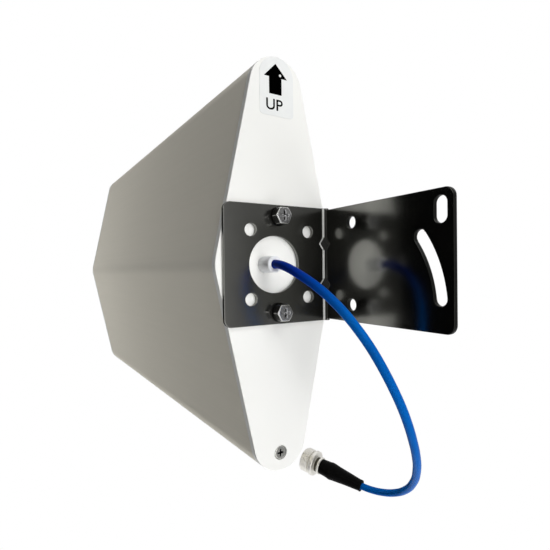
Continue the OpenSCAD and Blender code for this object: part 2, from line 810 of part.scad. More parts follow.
// Clear-edged orientation film on the rear cap, domed at the top
module up_label() {
    label_top = section_h / 2 - label_inset;
    foot_r = 2;
    color("white") on_mast() along_y(-label_t, 0) translate([0, label_top - label_h]) {
        translate([-label_w / 2, foot_r]) square([label_w, label_h - label_w / 2 - foot_r]);
        translate([-label_w / 2 + foot_r, 0]) square([label_w - 2 * foot_r, foot_r]);
        translate([0, label_h - label_w / 2]) circle(d = label_w);
        for (side = [-1, 1]) {
            translate([side * (label_w / 2 - foot_r), foot_r]) circle(foot_r);
        }
    }
}

radome();
back_cap();
front_cap();
back_cap_screws();
front_cap_screws();
left_boom();
right_boom();
left_elements();
right_elements();
boom_spacers();
shorting_strap();
strap_screws();
feed_coax();
feed_wire();
feed_bush();
threaded_inserts();
bracket();
bracket_flat_washers();
bracket_lock_washers();
bracket_bolts();
cable_sleeve();
coax_cable();
heat_shrink_boot();
crimp_ferrule();
connector_body();
connector_insulator();
connector_contact();
up_label();
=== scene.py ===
# %% [markdown]
# A log-periodic antenna in Blender.
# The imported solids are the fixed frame, and every visible piece is dressed in place around them.
# All lengths are written in millimetres, as on a drawing, and turned to metres by MM.

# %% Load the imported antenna
import math

import bmesh
import bpy
from mathutils import Matrix, Vector, kdtree


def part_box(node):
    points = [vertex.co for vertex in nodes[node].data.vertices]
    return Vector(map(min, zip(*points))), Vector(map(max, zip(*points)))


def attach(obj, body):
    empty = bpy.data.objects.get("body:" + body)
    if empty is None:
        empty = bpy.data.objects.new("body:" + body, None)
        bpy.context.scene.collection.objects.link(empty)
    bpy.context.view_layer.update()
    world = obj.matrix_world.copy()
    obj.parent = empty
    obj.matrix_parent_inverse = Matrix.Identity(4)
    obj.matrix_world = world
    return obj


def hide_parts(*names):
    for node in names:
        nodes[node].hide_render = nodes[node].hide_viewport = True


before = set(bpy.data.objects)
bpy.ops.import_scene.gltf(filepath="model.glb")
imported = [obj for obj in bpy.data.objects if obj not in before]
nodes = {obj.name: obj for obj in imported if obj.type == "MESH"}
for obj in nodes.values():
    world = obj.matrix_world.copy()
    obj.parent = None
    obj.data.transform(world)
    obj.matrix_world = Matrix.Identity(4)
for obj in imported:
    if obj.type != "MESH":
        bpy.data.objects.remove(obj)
scene = bpy.context.scene
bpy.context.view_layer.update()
MM = 0.001
print("solids loaded:", len(nodes))

# %% [markdown]
# The camera stands behind the antenna and to its left, close to it, so the long housing runs away fast.
# Its place, turn and lens could be found by eye; here they come from the edges of the bracket and the cap,
# whose sizes are known, so a piece placed in millimetres falls where it should in the picture.

# %% Camera
LENS_MM = 28.637
SENSOR_MM = 36
NEAREST_MM = 10
EYE_MM = (-148.056, -165.28, -3.131)
TURN_DEG = -31.561
TILT_DEG = 89.447
ROLL_DEG = -0.689

scene.view_settings.view_transform = "Standard"
camera_data = bpy.data.cameras.new("camera")
camera_data.lens = LENS_MM
camera_data.sensor_width = SENSOR_MM
camera_data.clip_start = NEAREST_MM * MM
camera = bpy.data.objects.new("camera", camera_data)
scene.collection.objects.link(camera)
turned_right = Matrix.Rotation(math.radians(TURN_DEG), 4, "Z")
tilted_up = Matrix.Rotation(math.radians(TILT_DEG), 4, "X")
rolled = Matrix.Rotation(math.radians(ROLL_DEG), 4, "Z")
camera.matrix_world = Matrix.Translation(Vector(EYE_MM) * MM) @ turned_right @ tilted_up @ rolled
scene.camera = camera
print("camera at mm", EYE_MM, "lens", LENS_MM)

# %% [markdown]
# The coax pigtail is the antenna's only loose lead: a stiff blue cable, shown from end to end.
# A curve with a round section is the plain way to make it, because its line is its length.
# The points are those of the solid cable, so the curve lies where the solid does.
# Each knot carries the cable's own radius, and the bevel only multiplies it by one: a curve's box is taken
# from its knots' radii, and would otherwise reach a metre too far.

# %% Coax pigtail
ANTENNA_TO_MAST_MM = Vector((-30, 23.3, 0))
CABLE_D_MM = 4.2
CABLE_STEPS = 8
PLUG_AT_MM = Vector((74.4, 21.4, -142.1))
PLUG_TURN_DEG = 112.2
PLUG_RISE_DEG = 10
BOOT_L_MM = 30
BOOT_SHARES = (0, 0.5, 1)
ROUTE_MM = [
    (-8, -10, 0), (-8, -11.5, 0), (-7.9, -18.1, -1.2), (-7.3, -22.8, -2.8), (-6.3, -27.1, -4.8),
    (-4, -33.1, -8.4), (-1.3, -38.3, -12.6), (1.7, -42.7, -17.4), (4.8, -46.4, -22.6), (8.1, -49.4, -28.3),
    (11.6, -51.8, -34.4), (15.1, -53.5, -40.7), (18.9, -54.6, -47.5), (23.1, -55, -54.7),
    (28.1, -54.7, -63), (33.9, -53.1, -72.2), (40.3, -50.2, -81.9), (48.1, -45.4, -92.8),
    (57.1, -38, -104.6), (67.7, -26.4, -118.5), (75.7, -12.8, -130.8), (78.1, -3, -137),
    (78.2, 5.8, -140.6), (76.6, 14.7, -142.3),
]
plug_turn = Matrix.Rotation(math.radians(PLUG_TURN_DEG), 4, "Z")
plug_tip = Matrix.Rotation(math.radians(90 - PLUG_RISE_DEG), 4, "Y")
plug_axis = (plug_turn @ plug_tip) @ Vector((0, 0, 1))
route = [(Vector(p) + ANTENNA_TO_MAST_MM) * MM for p in ROUTE_MM]
route += [(PLUG_AT_MM + ANTENNA_TO_MAST_MM + plug_axis * BOOT_L_MM * share) * MM for share in BOOT_SHARES]

cable_line = bpy.data.curves.new("coax_pigtail", "CURVE")
cable_line.dimensions = "3D"
cable_line.bevel_depth = 1
cable_line.bevel_resolution = CABLE_STEPS
cable_line.resolution_u = CABLE_STEPS
cable_line.use_fill_caps = True
spline = cable_line.splines.new("BEZIER")
spline.bezier_points.add(len(route) - 1)
for knot, place in zip(spline.bezier_points, route):
    knot.co = place
    knot.radius = CABLE_D_MM / 2 * MM
    knot.handle_left_type = "AUTO"
    knot.handle_right_type = "AUTO"
cable = bpy.data.objects.new("coax_pigtail", cable_line)
scene.collection.objects.link(cable)
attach(cable, "root")
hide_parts("coax_cable")
cable_l_mm = sum((b - a).length for a, b in zip(route, route[1:])) / MM
print("pigtail points:", len(route), "length along the points in mm:", round(cable_l_mm, 1))

# %% [markdown]
# Turned pieces, such as the connector, are round about one axis, so a half outline and one spin make them.
# The outline is written as radius and station along the axis, as for a lathe.
# The finished mesh is then moved onto the plug's own axis, so that its object stays at the origin.

# %% Helpers for turned pieces
LATHE_STEPS = 72
MERGE_MM = 0.002
plug_place = Matrix.Translation((PLUG_AT_MM + ANTENNA_TO_MAST_MM) * MM) @ plug_turn @ plug_tip


def turned(outline_mm):
    """Spin a closed outline of (radius, station) points about the station axis."""
    shape = bmesh.new()
    ring = [shape.verts.new((radius * MM, 0, station * MM)) for radius, station in outline_mm]
    edges = [shape.edges.new((ring[i - 1], ring[i])) for i in range(len(ring))]
    bmesh.ops.spin(shape, geom=ring + edges, cent=(0, 0, 0), axis=(0, 0, 1), angle=math.tau,
                   steps=LATHE_STEPS, use_merge=True)
    bmesh.ops.remove_doubles(shape, verts=shape.verts, dist=MERGE_MM * MM)
    bmesh.ops.recalc_face_normals(shape, faces=shape.faces)
    return shape


def as_object(shape, name):
    """Turn a bmesh into an object of the scene."""
    mesh = bpy.data.meshes.new(name)
    shape.to_mesh(mesh)
    shape.free()
    made = bpy.data.objects.new(name, mesh)
    scene.collection.objects.link(made)
    return made


def finished(shape, name, slot, *stands_for, crease_deg=40):
    """Make a piece that rides on the antenna, smooth but for its sharp edges."""
    for face in shape.faces:
        face.smooth = True
    for edge in shape.edges:
        edge.smooth = edge.calc_face_angle(math.pi) < math.radians(crease_deg)
    piece = as_object(shape, name)
    weighted = piece.modifiers.new("weighted normals", "WEIGHTED_NORMAL")
    weighted.keep_sharp = True
    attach(piece, "root")
    if stands_for:
        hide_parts(*stands_for)
    print(name, "faces:", len(piece.data.polygons))
    return piece


# %% [markdown]
# The jack's body is turned from brass and nickel plated: a rear ring, a neck, a flange and a barrel.
# A stack of cylinders would do, but a lathe leaves broken edges and sloping shoulders that catch the light,
# so the outline has them all.

# %% Jack body
REAR_RING_S_MM = 30
NECK_S_MM = 31.5
FLANGE_S_MM = 34
GROOVE_S_MM = 36.5
BARREL_S_MM = 37.5
MOUTH_S_MM = 43.5
RING_R_MM = 5.6
RING_BREAK_MM = 0.25
RING_SLOPE_MM = 0.15
NECK_R_MM = 4.8
FLANGE_R_MM = 8.2
FLANGE_BREAK_MM = 0.35
TOOL_SLOPE_MM = 0.1
GROOVE_R_MM = 6.6
BARREL_R_MM = 7.9375
THREAD_DEPTH_MM = 0.45
LEAD_IN_MM = 0.5
LIP_MM = 0.7
LIP_DROP_MM = 0.3
LIP_END_DROP_MM = 0.45
MOUTH_R_MM = 4.5
MOUTH_DEPTH_MM = 5
BORE_R_MM = 3.525
CONTACT_HOLE_R_MM = 1.6
core_r_mm = BARREL_R_MM - THREAD_DEPTH_MM
jack_shape = turned([
    (CONTACT_HOLE_R_MM, REAR_RING_S_MM), (RING_R_MM - RING_BREAK_MM, REAR_RING_S_MM),
    (RING_R_MM, REAR_RING_S_MM + RING_BREAK_MM), (RING_R_MM, NECK_S_MM - RING_BREAK_MM),
    (RING_R_MM - RING_BREAK_MM, NECK_S_MM), (NECK_R_MM, NECK_S_MM + RING_SLOPE_MM),
    (NECK_R_MM, FLANGE_S_MM - TOOL_SLOPE_MM), (FLANGE_R_MM - FLANGE_BREAK_MM, FLANGE_S_MM),
    (FLANGE_R_MM, FLANGE_S_MM + FLANGE_BREAK_MM), (FLANGE_R_MM, GROOVE_S_MM - FLANGE_BREAK_MM),
    (FLANGE_R_MM - FLANGE_BREAK_MM, GROOVE_S_MM), (GROOVE_R_MM, GROOVE_S_MM + TOOL_SLOPE_MM),
    (GROOVE_R_MM, BARREL_S_MM), (core_r_mm, BARREL_S_MM + LEAD_IN_MM), (core_r_mm, MOUTH_S_MM - LIP_MM),
    (core_r_mm - LIP_DROP_MM, MOUTH_S_MM - TOOL_SLOPE_MM), (core_r_mm - LIP_END_DROP_MM, MOUTH_S_MM),
    (MOUTH_R_MM + FLANGE_BREAK_MM, MOUTH_S_MM), (MOUTH_R_MM, MOUTH_S_MM - FLANGE_BREAK_MM),
    (MOUTH_R_MM, MOUTH_S_MM - MOUTH_DEPTH_MM), (BORE_R_MM, MOUTH_S_MM - MOUTH_DEPTH_MM),
    (BORE_R_MM, NECK_S_MM), (CONTACT_HOLE_R_MM, NECK_S_MM),
])
print("jack body before its thread, faces:", len(jack_shape.faces))

# %% [markdown]
# The barrel carries a coaxial thread. It could be a stack of rings, but a real one climbs, so a small blunt
# triangle is spun along the axis a little over four times. Its root sits in the barrel, and both its ends
# stop in the barrel's chamfers.

# %% Thread on the jack
THREAD_PITCH_MM = 1.0583
THREAD_TURNS = 4.4
THREAD_STEPS = 48
THREAD_ROOT_MM = 0.15
THREAD_START_MM = 0.75
CREST_HALF_MM = 0.06
ROOT_GAP_MM = 0.02
root_half_mm = THREAD_PITCH_MM / 2 - ROOT_GAP_MM
ridge_mm = [
    (core_r_mm - THREAD_ROOT_MM, -root_half_mm), (BARREL_R_MM, -CREST_HALF_MM),
    (BARREL_R_MM, CREST_HALF_MM), (core_r_mm - THREAD_ROOT_MM, root_half_mm),
]
ridge = [jack_shape.verts.new((radius * MM, 0, (BARREL_S_MM + THREAD_START_MM + offset) * MM))
         for radius, offset in ridge_mm]
ridge_face = jack_shape.faces.new(ridge)
climb = Vector((0, 0, THREAD_PITCH_MM / THREAD_STEPS * MM))
bmesh.ops.spin(jack_shape, geom=[ridge_face, *ridge_face.edges, *ridge], cent=(0, 0, 0), axis=(0, 0, 1),
               angle=math.tau * THREAD_TURNS, steps=int(THREAD_TURNS * THREAD_STEPS), dvec=climb)
bmesh.ops.recalc_face_normals(jack_shape, faces=jack_shape.faces)
jack_shape.transform(plug_place)
jack_body = finished(jack_shape, "jack_body", "nickel_plate", "connector_body", crease_deg=30)

# %% [markdown]
# Heat-shrink tubing grips whatever is under it: the cable, then the step of the crimp ferrule, then its
# end. It could be a plain cone, but real tubing necks in behind the ferrule and wrinkles a little as it
# shrinks. The outline is spun, and its skin is then moved in and out by a few hundredths in long soft
# waves.

# %% Heat-shrink boot
BOOT_BORE_R_MM = 2.175
FERRULE_ROOM_R_MM = 4.05
FERRULE_S_MM = 15.95
boot_shape = turned([
    (BOOT_BORE_R_MM, 0), (3.2, 0), (3.54, 0.25), (3.6, 0.9), (3.5, 1.8), (3.64, 3.4), (3.86, 6), (4.13, 9),
    (4.4, 12), (4.7, 15), (5.02, 18), (5.32, 20.4), (5.5, 21.7), (5.57, 22.3), (5.52, 23), (5.32, 24),
    (5.2, 24.6), (5.06, 26.5), (4.98, 28.4), (4.9, 29.4), (4.82, 29.8), (4.6, BOOT_L_MM),
    (FERRULE_ROOM_R_MM, BOOT_L_MM), (FERRULE_ROOM_R_MM, FERRULE_S_MM), (BOOT_BORE_R_MM, FERRULE_S_MM),
])
SKIN_MM = 0.1
WRINKLE_MM = 0.07
WRINKLES_ROUND = 5
WRINKLE_PITCH_MM = 7.3
WRINKLE_SWAY = 1.3
for vert in boot_shape.verts:
    outward = Vector((vert.co.x, vert.co.y, 0))
    over_cable = vert.co.z < (FERRULE_S_MM - SKIN_MM) * MM
    inner_r_mm = BOOT_BORE_R_MM if over_cable else FERRULE_ROOM_R_MM
    if outward.length > (inner_r_mm + SKIN_MM) * MM:
        around = math.atan2(vert.co.y, vert.co.x)
        along = vert.co.z / MM / WRINKLE_PITCH_MM * math.tau
        swayed = WRINKLES_ROUND * around + WRINKLE_SWAY * math.sin(along)
        wave = math.sin(swayed) * math.cos(2 * around - along)
        vert.co += outward.normalized() * WRINKLE_MM * MM * wave
boot_shape.transform(plug_place)
boot = finished(boot_shape, "shrink_boot", "shrink_sleeve", "heat_shrink_boot", crease_deg=60)

# %% [markdown]
# The hard pieces already have the right shape as solids, but a solid's edges are ideally sharp and its mesh
# is loose triangles. A real edge is broken by the press or the mould and catches the light. So each is
# copied, its doubles merged and its flats joined, its edges bevelled, and the copy stands for the solid.

# %% Helpers for dressed solids
FLAT_DEG = 0.4
NEAR_MM = 0.05


def break_edges(shape, edges, edge_mm, segments=2):
    """Round the given edges by this many millimetres."""
    bmesh.ops.bevel(shape, geom=edges, offset=edge_mm * MM, offset_type="OFFSET", affect="EDGES",
                    segments=segments, profile=0.5, material=-1, clamp_overlap=False)


def dressed(node, edge_mm, from_deg=50, segments=2, first=None):
    """A copy of a solid with its flats joined, its own first step done and its sharp edges rounded."""
    shape = bmesh.new()
    shape.from_mesh(nodes[node].data)
    bmesh.ops.remove_doubles(shape, verts=shape.verts, dist=MERGE_MM * MM)
    bmesh.ops.dissolve_limit(shape, angle_limit=math.radians(FLAT_DEG), use_dissolve_boundaries=False,
                             verts=shape.verts, edges=shape.edges)
    if first:
        first(shape)
    if edge_mm:
        sharp = [e for e in shape.edges if e.is_manifold and e.calc_face_angle() > math.radians(from_deg)]
        break_edges(shape, sharp, edge_mm, segments)
    return shape


# %% [markdown]
# The jack's inner pieces, the white insulator and the gilt contact, show only in the barrel's mouth.
# They keep their solids' shapes with their rims broken.

# %% Jack inner pieces and the crimp ferrule
jack_insulator = finished(dressed("connector_insulator", edge_mm=0.15), "jack_insulator",
                          "insulator_plastic", "connector_insulator")
jack_contact = finished(dressed("connector_contact", edge_mm=0.1), "jack_contact", "contact_gold",
                        "connector_contact")
crimp = finished(dressed("crimp_ferrule", edge_mm=0.15), "ferrule_crimped", "nickel_plate", "crimp_ferrule")

# %% [markdown]
# The bracket is one polished sheet, punched and then bent, with two darts pressed across the bend to
# stiffen it. Its rims are drawn as thin bright lines, because a punched and polished edge is rounded by a
# few tenths.

# %% Bracket
BROKEN_MM = 0.4
bracket = finished(dressed("bracket", edge_mm=BROKEN_MM, from_deg=40, segments=4), "bracket_polished",
                   "polished_steel", "bracket", crease_deg=35)

# %% [markdown]
# The polishing wheel runs over the faces and the free edge on the cap, and the punch burnishes the holes
# there: the other sheared walls stay dull. The darts and the inside of the bend are painted dark, as
# painted shade, and a pale crease inside the bend and pale edges on the darts are painted highlights. Each
# could be a piece of its own, but it is one sheet, so the faces are found by their normals and places, and
# their finishes come later.

# %% Dull, shaded and highlighted faces of the bracket
BEND_ZONE_MM = 6
SHEET_MM = 2
FLAT_LEAN = 0.98
SHEARED_LEAN = {"cap leg": 0.5, "mast leg": 0.97}
CAP_LEG_W_MM = 61.5
CAP_LEG_H_MM = 60
FREE_EDGE_MM = 1
DART_LEAN = 0.3
DART_Z_MM = 11
DART_REACH_MM = 5.2
DART_SIDE_LEAN = 0.5
CREASE_FROM, CREASE_TO = 0.02, 0.72
dull_and_shaded_faces = set()
highlight_faces = set()
for face in bracket.data.polygons:
    x_mm, y_mm, z_mm = [value / MM for value in face.center]
    in_bend = max(-x_mm, ANTENNA_TO_MAST_MM.y - y_mm) < BEND_ZONE_MM
    on_mast_leg = y_mm < ANTENNA_TO_MAST_MM.y - BEND_ZONE_MM
    sheet_lean = abs(face.normal.x if on_mast_leg else face.normal.y)
    sheared = sheet_lean < SHEARED_LEAN["mast leg" if on_mast_leg else "cap leg"]
    at_free_edge = x_mm < FREE_EDGE_MM - CAP_LEG_W_MM
    in_hole = not on_mast_leg and abs(z_mm) < CAP_LEG_H_MM / 2 - FREE_EDGE_MM
    pressed = abs(face.normal.z) > DART_LEAN
    # Dull sheared walls, and painted shade on the pressed dart faces.
    if in_bend and pressed or not in_bend and sheared and not at_free_edge and not in_hole:
        dull_and_shaded_faces.add(face.index)
    inside = in_bend and face.normal.x < 0 and face.normal.y < 0
    by_dart = abs(abs(z_mm) - DART_Z_MM) < DART_REACH_MM
    # Painted shade on the sides of the darts inside the bend.
    if inside and by_dart and max(face.normal.x, face.normal.y) < -DART_SIDE_LEAN:
        dull_and_shaded_faces.add(face.index)
    at_cap_leg = y_mm > ANTENNA_TO_MAST_MM.y - SHEET_MM - BROKEN_MM
    dart_edge = by_dart and at_cap_leg and DART_SIDE_LEAN < -face.normal.y < FLAT_LEAN
    crease = not by_dart and not pressed and CREASE_FROM < -face.normal.x < FLAT_LEAN
    # Painted highlights on the dart edges and the crease inside the bend; painted shade on the rest of the
    # crease.
    if inside and (dart_edge or crease and -face.normal.x < CREASE_TO):
        highlight_faces.add(face.index)
    elif inside and crease:
        dull_and_shaded_faces.add(face.index)
print("dull bracket faces:", len(dull_and_shaded_faces), "pale ones in the bend:", len(highlight_faces))

# %% [markdown]
# Two bolts with hexagon heads, each on a spring washer and a flat one, hold the bracket to the cap.
# Tumbling rounds all the edges of a head alike. Its rim is painted pale, as a painted highlight, and its
# flanks are painted dark, as painted shade: these faces are found by their lean and by how far they are
# from the bolt's axis.

# %% Bolts and washers
BOLT_AT_MM = (-1.5, 24)
FLANK_LEAN = 0.3
FLANK_MM2 = 1.0
RIM_MM = 1.0
RIM_LEAN = 0.85
FACE_R_MM = 3.5


def off_axis_mm(point, axis_mm):
    """How far a point is from the nearer of a pair of screws, one above and one below the middle."""
    across_mm = point.x / MM - ANTENNA_TO_MAST_MM.x - axis_mm[0]
    return math.hypot(across_mm, abs(point.z) / MM - axis_mm[1])


bolt_face_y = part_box("bracket_bolts")[0][1]
bolts = finished(dressed("bracket_bolts", edge_mm=0.28, segments=3), "bolts_tumbled", "zinc_screws",
                 "bracket_bolts")
shaded_flanks = []
highlight_rims = []
for face in bolts.data.polygons:
    lean = abs(face.normal.y)
    # Flanks get painted shade; rims get a painted highlight.
    if lean < FLANK_LEAN and face.area > FLANK_MM2 * MM * MM:
        shaded_flanks.append(face.index)
    at_face = face.center.y - bolt_face_y < RIM_MM * MM
    if at_face and lean < RIM_LEAN and off_axis_mm(face.center, BOLT_AT_MM) > FACE_R_MM:
        highlight_rims.append(face.index)
print("dull bolt flanks:", len(shaded_flanks), "bright rim faces:", len(highlight_rims))
flat_washers = finished(dressed("bracket_flat_washers", edge_mm=0.12), "washers_flat", "zinc_screws",
                        "bracket_flat_washers")
spring_washers = finished(dressed("bracket_lock_washers", edge_mm=0.15), "washers_spring", "zinc_screws",
                          "bracket_lock_washers")

# %% [markdown]
# The housing is three mouldings: an extruded tube of lozenge section and a cap at each end. The moulded
# rear cap is crisper than its solid: the round on its outer edge is tighter, and its flange stands a little
# proud of the tube at the two side ridges. So the rim's vertices are moved: each keeps its place on the
# arc, the arc shrinks onto the outline that it started from, and the outline widens towards the ridges.

# %% Housing and caps
CAP_FACE_MM = ANTENNA_TO_MAST_MM.y
CAP_T_MM = 4
TIP_Z_MM = 105
SOLID_RIM_R_MM = 0.7
RIM_R_MM = 0.35
PROUD_MM = 1.0


def crisp_rim(shape):
    """Tighten the round on the rear cap's edge and let its flange stand proud at the ridges."""
    def depth_mm(vert):
        return vert.co.y / MM - CAP_FACE_MM

    outline = [Vector((v.co.x, 0, v.co.z)) for v in shape.verts
               if abs(depth_mm(v) - SOLID_RIM_R_MM) < NEAR_MM]
    finder = kdtree.KDTree(len(outline))
    for number, place in enumerate(outline):
        finder.insert(place, number)
    finder.balance()
    for vert in shape.verts:
        flat = Vector((vert.co.x, 0, vert.co.z))
        nearest, _, distance = finder.find(flat)
        in_arc = -NEAR_MM < depth_mm(vert) < SOLID_RIM_R_MM + NEAR_MM
        on_rim = in_arc and distance < (SOLID_RIM_R_MM + NEAR_MM) * MM
        on_wall = depth_mm(vert) < CAP_T_MM + NEAR_MM and distance < NEAR_MM * MM
        if on_rim:
            flat = nearest + (flat - nearest) * RIM_R_MM / SOLID_RIM_R_MM
            vert.co = (flat.x, (CAP_FACE_MM + depth_mm(vert) * RIM_R_MM / SOLID_RIM_R_MM) * MM, flat.z)
        if on_rim or on_wall:
            side = math.copysign(1, vert.co.x / MM - ANTENNA_TO_MAST_MM.x)
            vert.co.x += side * PROUD_MM * (1 - abs(vert.co.z / MM) / TIP_Z_MM) * MM
    return shape


radome = finished(dressed("radome", edge_mm=0), "radome_tube", "radome_plastic", "radome")
back_cap = finished(crisp_rim(dressed("back_cap", edge_mm=0.2)), "cap_rear", "cap_plastic", "back_cap")
front_cap = finished(dressed("front_cap", edge_mm=0.2), "cap_front", "cap_plastic", "front_cap")

# %% [markdown]
# A screw near each tip holds a cap. Heading leaves a domed rim round a cross recess, so only the rim of the
# face is rounded, and the faces of the recess are noted, for painted shade in the recess.
# The sleeve is the white nub that leads the cable out of the cap; its mouth is well rounded.

# %% Cap screws and cable sleeve
SCREW_IN_MM = 9
SCREW_AT_MM = (0, TIP_Z_MM - SCREW_IN_MM)
DOME_MM = 0.6
DOME_SEGMENTS = 3
RECESS_R_MM = 2.5
RECESS_FROM_MM, RECESS_TO_MM = 0.1, 1.3
SCREW_PAIRS = [
    ("back_cap_screws", "screws_rear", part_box("back_cap_screws")[0][1]),
    ("front_cap_screws", "screws_front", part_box("front_cap_screws")[1][1]),
]


def domed_heads(shape, face_y):
    """Round the rim of each head's face, outside its cross recess."""
    on_rim = {v for v in shape.verts
              if abs(v.co.y - face_y) < NEAR_MM * MM and off_axis_mm(v.co, SCREW_AT_MM) > RECESS_R_MM}
    break_edges(shape, [e for e in shape.edges if on_rim.issuperset(e.verts)], DOME_MM, DOME_SEGMENTS)


screws = []
for node, name, face_y in SCREW_PAIRS:
    screw_shape = dressed(node, edge_mm=0.1, first=lambda shape: domed_heads(shape, face_y))
    pair = finished(screw_shape, name, "zinc_screws", node)
    recess = [f.index for f in pair.data.polygons
              if RECESS_FROM_MM < abs(f.center.y - face_y) / MM < RECESS_TO_MM
              and off_axis_mm(f.center, SCREW_AT_MM) < RECESS_R_MM]
    screws.append((pair, recess))
    print(name, "recess faces:", len(recess))
sleeve = finished(dressed("cable_sleeve", edge_mm=0.4), "sleeve_white", "sleeve_plastic", "cable_sleeve")

# %% [markdown]
# The label is a thin white film with an arrow and a word that say which way up the antenna goes. Print
# could be painted by the material, but real ink has its own edge, so the arrow is seven vertices extruded
# by a hair.

# %% Orientation label and its arrow
LABEL_FACE_MM = -0.2
INK_MM = 0.02
ARROW_MM = [(-0.6, 101.4), (6.2, 94.4), (2.9, 94.4), (2.9, 85.9), (-4.5, 85.9), (-4.5, 94.4), (-7.4, 94.4)]
label_film = finished(dressed("up_label", edge_mm=0.06), "label_film", "label_film", "up_label")


def on_label(shape):
    """Move print from its own flat plane, in millimetres, onto the label's face."""
    stand = Matrix(((1, 0, 0, 0), (0, 0, -1, LABEL_FACE_MM), (0, 1, 0, 0), (0, 0, 0, 1)))
    shape.transform(Matrix.Scale(MM, 4) @ Matrix.Translation(ANTENNA_TO_MAST_MM) @ stand)
    bmesh.ops.recalc_face_normals(shape, faces=shape.faces)


arrow_shape = bmesh.new()
arrow_face = arrow_shape.faces.new([arrow_shape.verts.new((x, z, 0)) for x, z in ARROW_MM])
raised = bmesh.ops.extrude_face_region(arrow_shape, geom=[arrow_face], use_keep_orig=True)
raised_verts = [v for v in raised["geom"] if isinstance(v, bmesh.types.BMVert)]
bmesh.ops.translate(arrow_shape, verts=raised_verts, vec=(0, 0, INK_MM))
on_label(arrow_shape)
arrow = finished(arrow_shape, "label_arrow", "label_film")

# %% [markdown]
# The word could be drawn letter by letter. A text object is quicker: it is turned to a mesh while it lies
# flat, made a little bolder, and stretched to the height and width of the print.

# %% Word on the label
WORD_LEFT_MM = -6.3
WORD_RIGHT_MM = 3.5
WORD_FOOT_MM = 77.8
WORD_TOP_MM = 83.5
BOLDER = 0.012
WELD = 1e-5
word_text = bpy.data.curves.new("label_word", "FONT")
word_text.body = "UP"
word_text.extrude = INK_MM
word_text.offset = BOLDER
word_holder = bpy.data.objects.new("label_word_text", word_text)
scene.collection.objects.link(word_holder)
bpy.context.view_layer.update()
flat_word = word_holder.evaluated_get(bpy.context.evaluated_depsgraph_get())
word_mesh = bpy.data.meshes.new_from_object(flat_word)
bpy.data.objects.remove(word_holder)
word_shape = bmesh.new()
word_shape.from_mesh(word_mesh)
bmesh.ops.remove_doubles(word_shape, verts=word_shape.verts, dist=WELD)
left, *_, right = sorted(v.co.x for v in word_shape.verts)
foot, *_, top = sorted(v.co.y for v in word_shape.verts)
wide = (WORD_RIGHT_MM - WORD_LEFT_MM) / (right - left)
high = (WORD_TOP_MM - WORD_FOOT_MM) / (top - foot)
fitted = Matrix.Translation((WORD_LEFT_MM, WORD_FOOT_MM, 0)) @ Matrix.Diagonal((wide, high, 1, 1))
word_shape.transform(fitted @ Matrix.Translation((-left, -foot, 0)))
on_label(word_shape)
word = finished(word_shape, "label_word", "label_film")

# %% [markdown]
# Colours are written as sRGB hex values, as a paint card gives them, and one function turns them to linear.
# A second small function adds a node, sets it and links it, so that each finish reads as a short recipe.
# A node that is given as an input is linked by its first output.

# %% Helpers for finishes


def colour(hex_code):
    """An sRGB hex value as a linear colour."""
    channels = [int(hex_code[i:i + 2], 16) / 255 for i in (1, 3, 5)]
    linear = [c / 12.92 if c <= 0.04045 else ((c + 0.055) / 1.055) ** 2.4 for c in channels]
    return (*linear, 1)


def add_node(tree, kind, **given):
    """Add one node: i0 or a capital name sets or links an input, and other names are its settings."""
    node = tree.nodes.new("ShaderNode" + kind)
    for key, value in given.items():
        by_number = key[0] == "i" and key[1:].isdigit()
        if key.islower() and not by_number:
            setattr(node, key, value)
            continue
        socket = node.inputs[int(key[1:])] if by_number else node.inputs[key.replace("_", " ")]
        if isinstance(value, bpy.types.Node):
            value = value.outputs[0]
        if isinstance(value, bpy.types.NodeSocket):
            tree.links.new(value, socket)
        else:
            socket.default_value = value
    return node


def bare_tree(owner):
    """The emptied node tree of a material or a world."""
    owner.use_nodes = True
    owner.node_tree.nodes.clear()
    return owner.node_tree


def new_finish(name):
    """A new material, its empty tree, and the piece's Object coordinates."""
    material = bpy.data.materials.new(name)
    tree = bare_tree(material)
    return material, tree, add_node(tree, "TexCoord").outputs["Object"]


def coat(tree, **sockets):
    """End a finish with a principled shader that has these inputs."""
    add_node(tree, "OutputMaterial", Surface=add_node(tree, "BsdfPrincipled", **sockets))


def per_metre(size_mm):
    """The scale of a pattern whose features are this many millimetres wide."""
    return 1 / (size_mm * MM)


def wear(material, *pieces):
    """Give a finish to each piece."""
    for piece in pieces:
        piece.data.materials.clear()
        piece.data.materials.append(material)
    print(material.name, "on", [piece.name for piece in pieces])


def wear_on_faces(material, piece, faces):
    """Add a second or third finish to a piece, on these of its faces only."""
    piece.data.materials.append(material)
    for number in faces:
        piece.data.polygons[number].material_index = len(piece.data.materials) - 1
    print(material.name, "on", len(faces), "faces of", piece.name)


# %% [markdown]
# The tube is extruded ABS with a satin skin. Extrusion leaves faint streaks along the tube, and the skin
# has a fine grain that spreads the light. The grain is a tenth of a millimetre; it is drawn at half a
# millimetre, or it would not show at all.

# %% Extruded satin ABS
ABS_IOR = 1.53
STREAK_MM = 2.2
STREAK_STRETCH = 0.012
GRAIN_MM = 0.5
satin_abs, tree, place = new_finish("extruded satin ABS")
lengthwise = add_node(tree, "Mapping", Vector=place, Scale=(1, STREAK_STRETCH, 1))
streaks = add_node(tree, "TexNoise", Vector=lengthwise, Scale=per_metre(STREAK_MM), Detail=2)
tone = add_node(tree, "Mix", data_type="RGBA", i0=streaks, i6=colour("#E4E0D2"), i7=colour("#EAE5D8"))
sheen = add_node(tree, "MapRange", Value=streaks, i3=0.38, i4=0.46)
grain = add_node(tree, "TexNoise", Vector=place, Scale=per_metre(GRAIN_MM), Detail=2)
bump = add_node(tree, "Bump", Height=grain, Strength=0.12, Distance=0.02 * MM)
coat(tree, Base_Color=tone.outputs[2], Roughness=sheen, Normal=bump, IOR=ABS_IOR)
wear(satin_abs, radome)

# %% [markdown]
# The caps are injection moulded in a whiter ABS with a smoother skin. Its gloss is broken only by the faint
# ripple that cooling leaves, a few millimetres wide, and by a trace of yellowing in the thick places.

